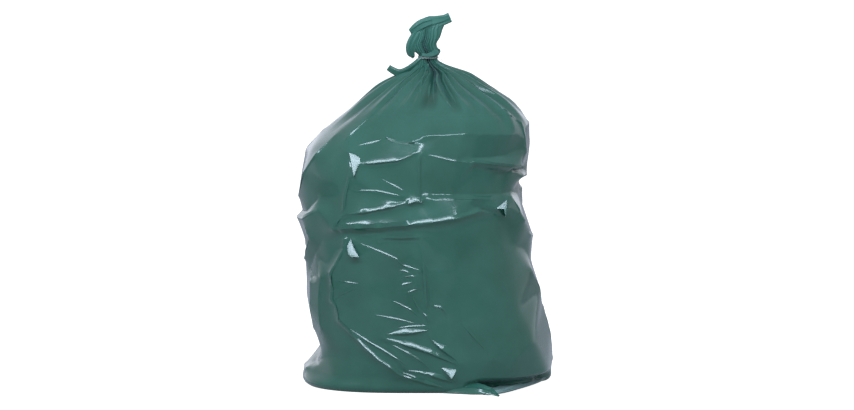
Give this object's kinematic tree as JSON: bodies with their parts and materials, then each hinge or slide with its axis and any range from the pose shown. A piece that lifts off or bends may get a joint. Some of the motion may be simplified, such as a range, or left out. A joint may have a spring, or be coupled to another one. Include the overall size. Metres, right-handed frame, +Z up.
{
  "type": "filled refuse sack",
  "caption": "Filled refuse sack of thin green film, standing upright, its mouth gathered into pleats and bound with a thread under a loose tuft.",
  "frame": {"origin": "on the floor under the middle of the tied neck, at the middle of the foot", "axes": "+Z up, -Y out of the front, +X to the right seen from the front"},
  "size_m": [0.5102, 0.4309, 0.7345],
  "materials": {
    "film": "glossy, slightly see-through polyethylene film",
    "thread": "satin"
  },
  "bodies": {
    "root": {"sack": "film", "neck_tie": "thread"}
  },
  "joints": []
}
